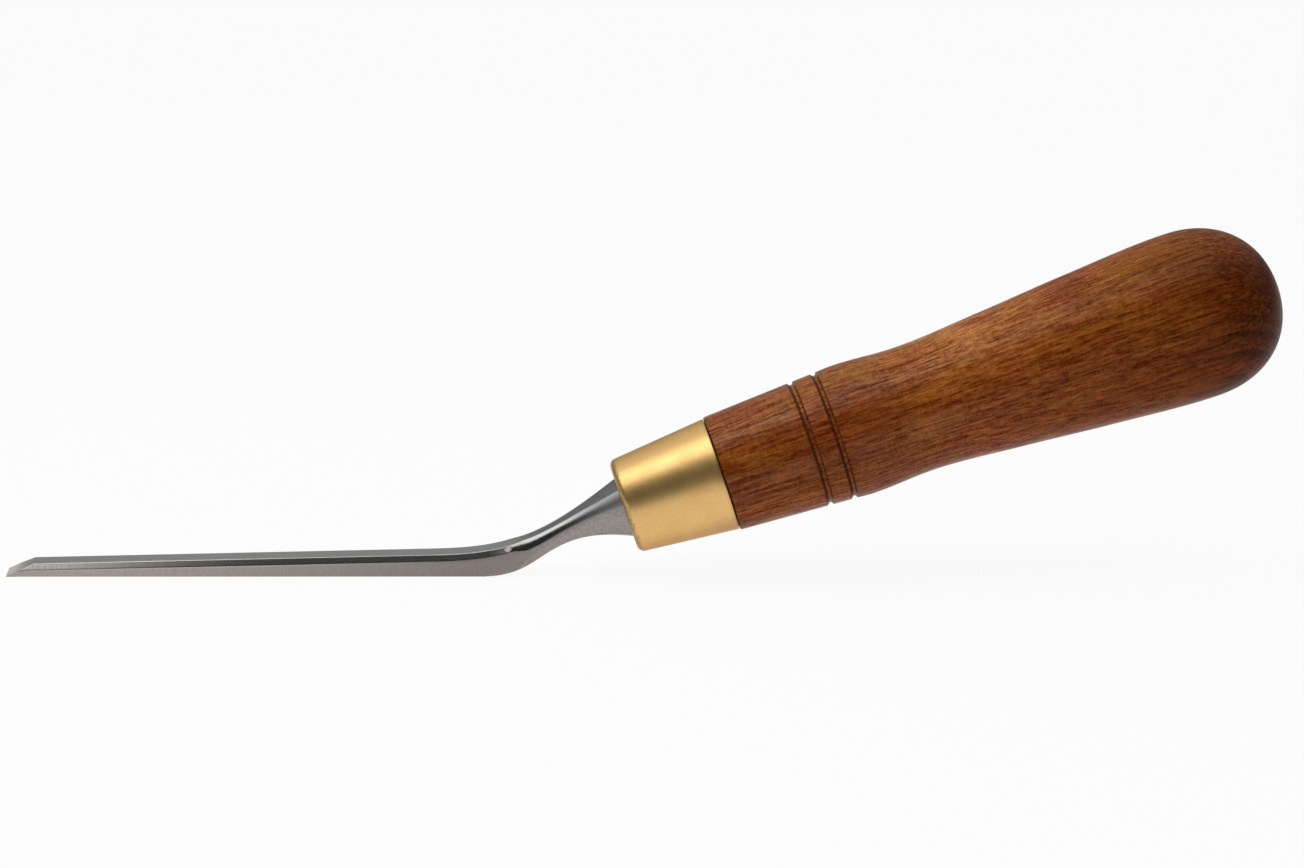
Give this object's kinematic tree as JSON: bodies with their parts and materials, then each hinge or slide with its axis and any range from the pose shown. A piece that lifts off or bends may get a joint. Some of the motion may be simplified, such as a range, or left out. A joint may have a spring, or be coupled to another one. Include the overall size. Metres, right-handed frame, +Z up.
{
  "type": "cranked neck paring chisel",
  "caption": "Slim bevel-edged paring chisel whose cranked neck lifts a turned wooden handle with a brass ferrule clear of the work.",
  "frame": {"origin": "middle of the cutting edge, on the plane of the flat back", "axes": "+X along the flat back from the cutting edge towards the handle, +Y across the blade, +Z up out of the flat back"},
  "size_m": [0.2595, 0.035, 0.0729],
  "materials": {
    "steel": "ground along the blade, polished at the neck",
    "brass": "satin, turned",
    "stained_wood": "stained red-brown, satin lacquer"
  },
  "bodies": {
    "root": {"blade": "steel", "ferrule": "brass", "handle": "stained_wood"}
  },
  "joints": []
}
